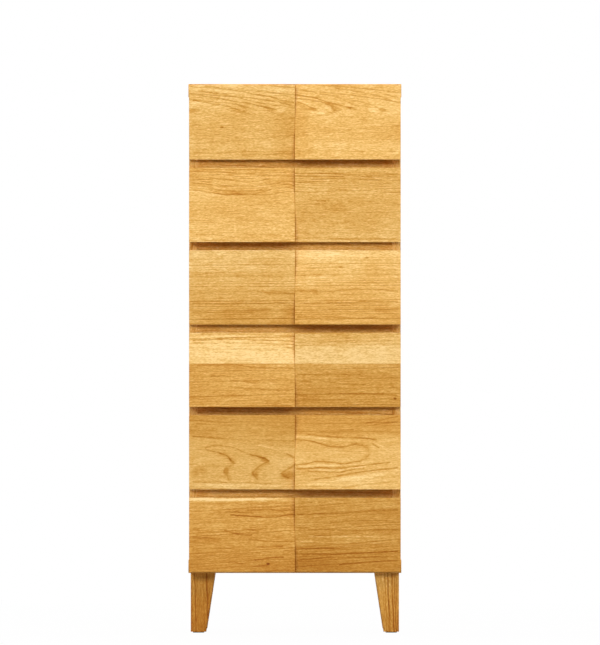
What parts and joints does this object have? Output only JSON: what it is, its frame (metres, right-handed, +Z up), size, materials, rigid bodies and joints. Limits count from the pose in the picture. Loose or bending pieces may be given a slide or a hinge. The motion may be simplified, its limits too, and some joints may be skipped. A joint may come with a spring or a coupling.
{
  "type": "clothing chest",
  "caption": "Tall free-standing clothing chest on tapered legs, with full-width oak drawer fronts planed to alternating slopes and finger gaps in place of handles.",
  "frame": {"origin": "on the floor under the middle of the whole chest, with every drawer shut", "axes": "+X to the right as seen from the front, -Y to the front where the drawers open, +Z up"},
  "size_m": [0.453, 0.4, 1.167],
  "materials": {
    "oak": "oiled solid oak, satin, grain level on the fronts and upright on the legs",
    "kiri": "bare planed paulownia, matt and pale",
    "back_plywood": "sanded plywood, matt",
    "screw_steel": "bright zinc-plated steel",
    "felt": "pressed wool felt"
  },
  "bodies": {
    "carcass": {"top_board": "oak", "bottom_board": "oak", "left_side": "oak", "right_side": "oak", "back_panel": "back_plywood", "front_rail_1": "oak", "front_rail_2": "oak", "front_rail_3": "oak", "front_rail_4": "oak", "front_rail_5": "oak", "leg_front_left": "oak", "leg_front_right": "oak", "leg_rear_left": "oak", "leg_rear_right": "oak", "drawer_runners": "kiri", "runner_screws": "screw_steel", "leg_bolts": "screw_steel", "leg_glides": "felt"},
    "drawer_1": {"front_panel_1": "oak", "box_front_1": "kiri", "box_back_1": "kiri", "box_left_1": "kiri", "box_right_1": "kiri", "box_bottom_1": "kiri", "front_screws_1": "screw_steel"},
    "drawer_2": {"front_panel_2": "oak", "box_front_2": "kiri", "box_back_2": "kiri", "box_left_2": "kiri", "box_right_2": "kiri", "box_bottom_2": "kiri", "front_screws_2": "screw_steel"},
    "drawer_3": {"front_panel_3": "oak", "box_front_3": "kiri", "box_back_3": "kiri", "box_left_3": "kiri", "box_right_3": "kiri", "box_bottom_3": "kiri", "front_screws_3": "screw_steel"},
    "drawer_4": {"front_panel_4": "oak", "box_front_4": "kiri", "box_back_4": "kiri", "box_left_4": "kiri", "box_right_4": "kiri", "box_bottom_4": "kiri", "front_screws_4": "screw_steel"},
    "drawer_5": {"front_panel_5": "oak", "box_front_5": "kiri", "box_back_5": "kiri", "box_left_5": "kiri", "box_right_5": "kiri", "box_bottom_5": "kiri", "front_screws_5": "screw_steel"},
    "drawer_6": {"front_panel_6": "oak", "box_front_6": "kiri", "box_back_6": "kiri", "box_left_6": "kiri", "box_right_6": "kiri", "box_bottom_6": "kiri", "front_screws_6": "screw_steel"}
  },
  "joints": [
    {"name": "drawer_1_slide", "type": "slide", "parent": "carcass", "child": "drawer_1", "axis": [0, -1, 0], "range_m": [0, 0.29]},
    {"name": "drawer_2_slide", "type": "slide", "parent": "carcass", "child": "drawer_2", "axis": [0, -1, 0], "range_m": [0, 0.29]},
    {"name": "drawer_3_slide", "type": "slide", "parent": "carcass", "child": "drawer_3", "axis": [0, -1, 0], "range_m": [0, 0.29]},
    {"name": "drawer_4_slide", "type": "slide", "parent": "carcass", "child": "drawer_4", "axis": [0, -1, 0], "range_m": [0, 0.29]},
    {"name": "drawer_5_slide", "type": "slide", "parent": "carcass", "child": "drawer_5", "axis": [0, -1, 0], "range_m": [0, 0.29]},
    {"name": "drawer_6_slide", "type": "slide", "parent": "carcass", "child": "drawer_6", "axis": [0, -1, 0], "range_m": [0, 0.29]}
  ]
}
